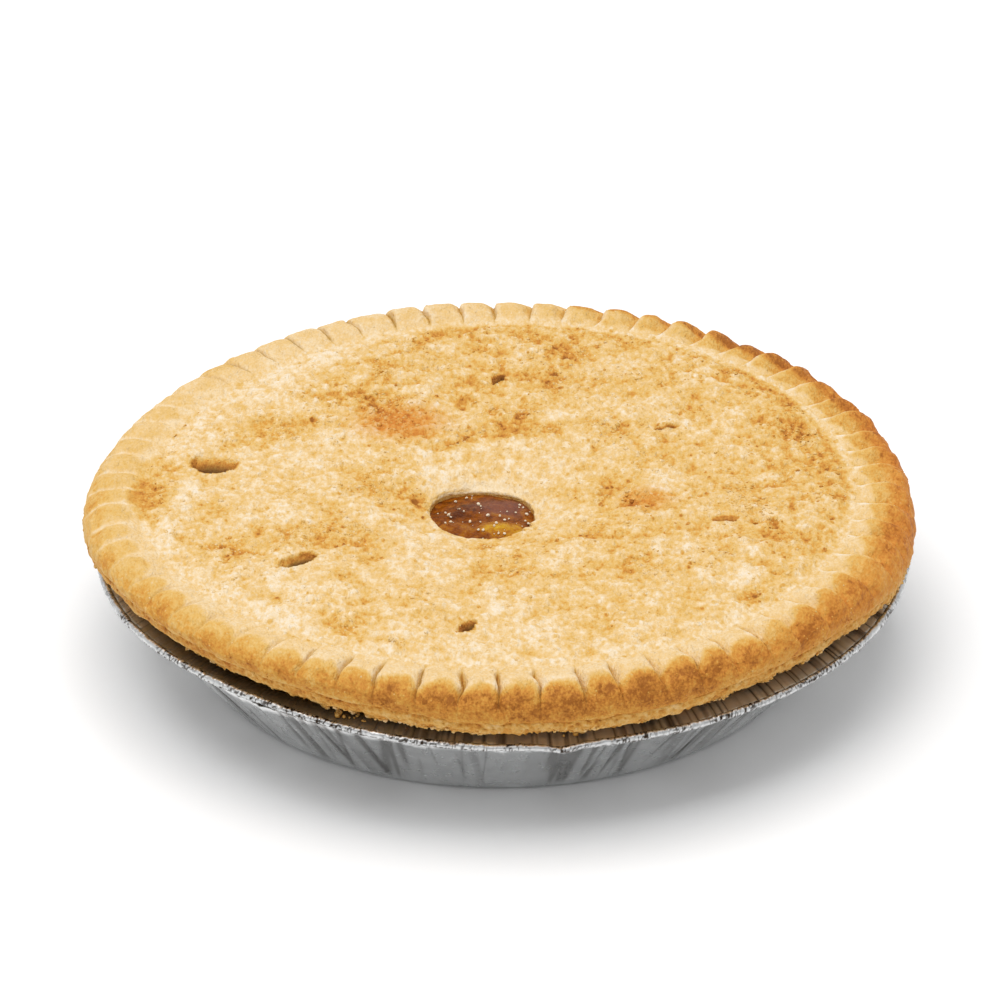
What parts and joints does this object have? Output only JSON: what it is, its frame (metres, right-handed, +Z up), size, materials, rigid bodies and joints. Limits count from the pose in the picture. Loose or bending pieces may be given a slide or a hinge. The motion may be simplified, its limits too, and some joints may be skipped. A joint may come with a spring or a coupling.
{
  "type": "peach pie in a foil tin",
  "caption": "Round double-crust peach pie with a crimped edge and a steam hole that shows the filling, baked in its own shallow foil tin.",
  "frame": {"origin": "middle of the tin's flat base, on the surface that it stands on", "axes": "+Z up through the middle of the pie; -Y is the side nearest the camera in the picture, and +X is its right"},
  "size_m": [0.2257, 0.2268, 0.0489],
  "materials": {
    "foil": "thin pressed aluminium foil, bright and finely pleated",
    "pastry": "baked shortcrust, pale cream to golden brown, dry and crumbly, dusted with sugar",
    "peach_filling": "sticky amber brown fruit in syrup, glossy"
  },
  "bodies": {
    "root": {"tin": "foil", "crust": "pastry", "filling": "peach_filling"}
  },
  "joints": []
}
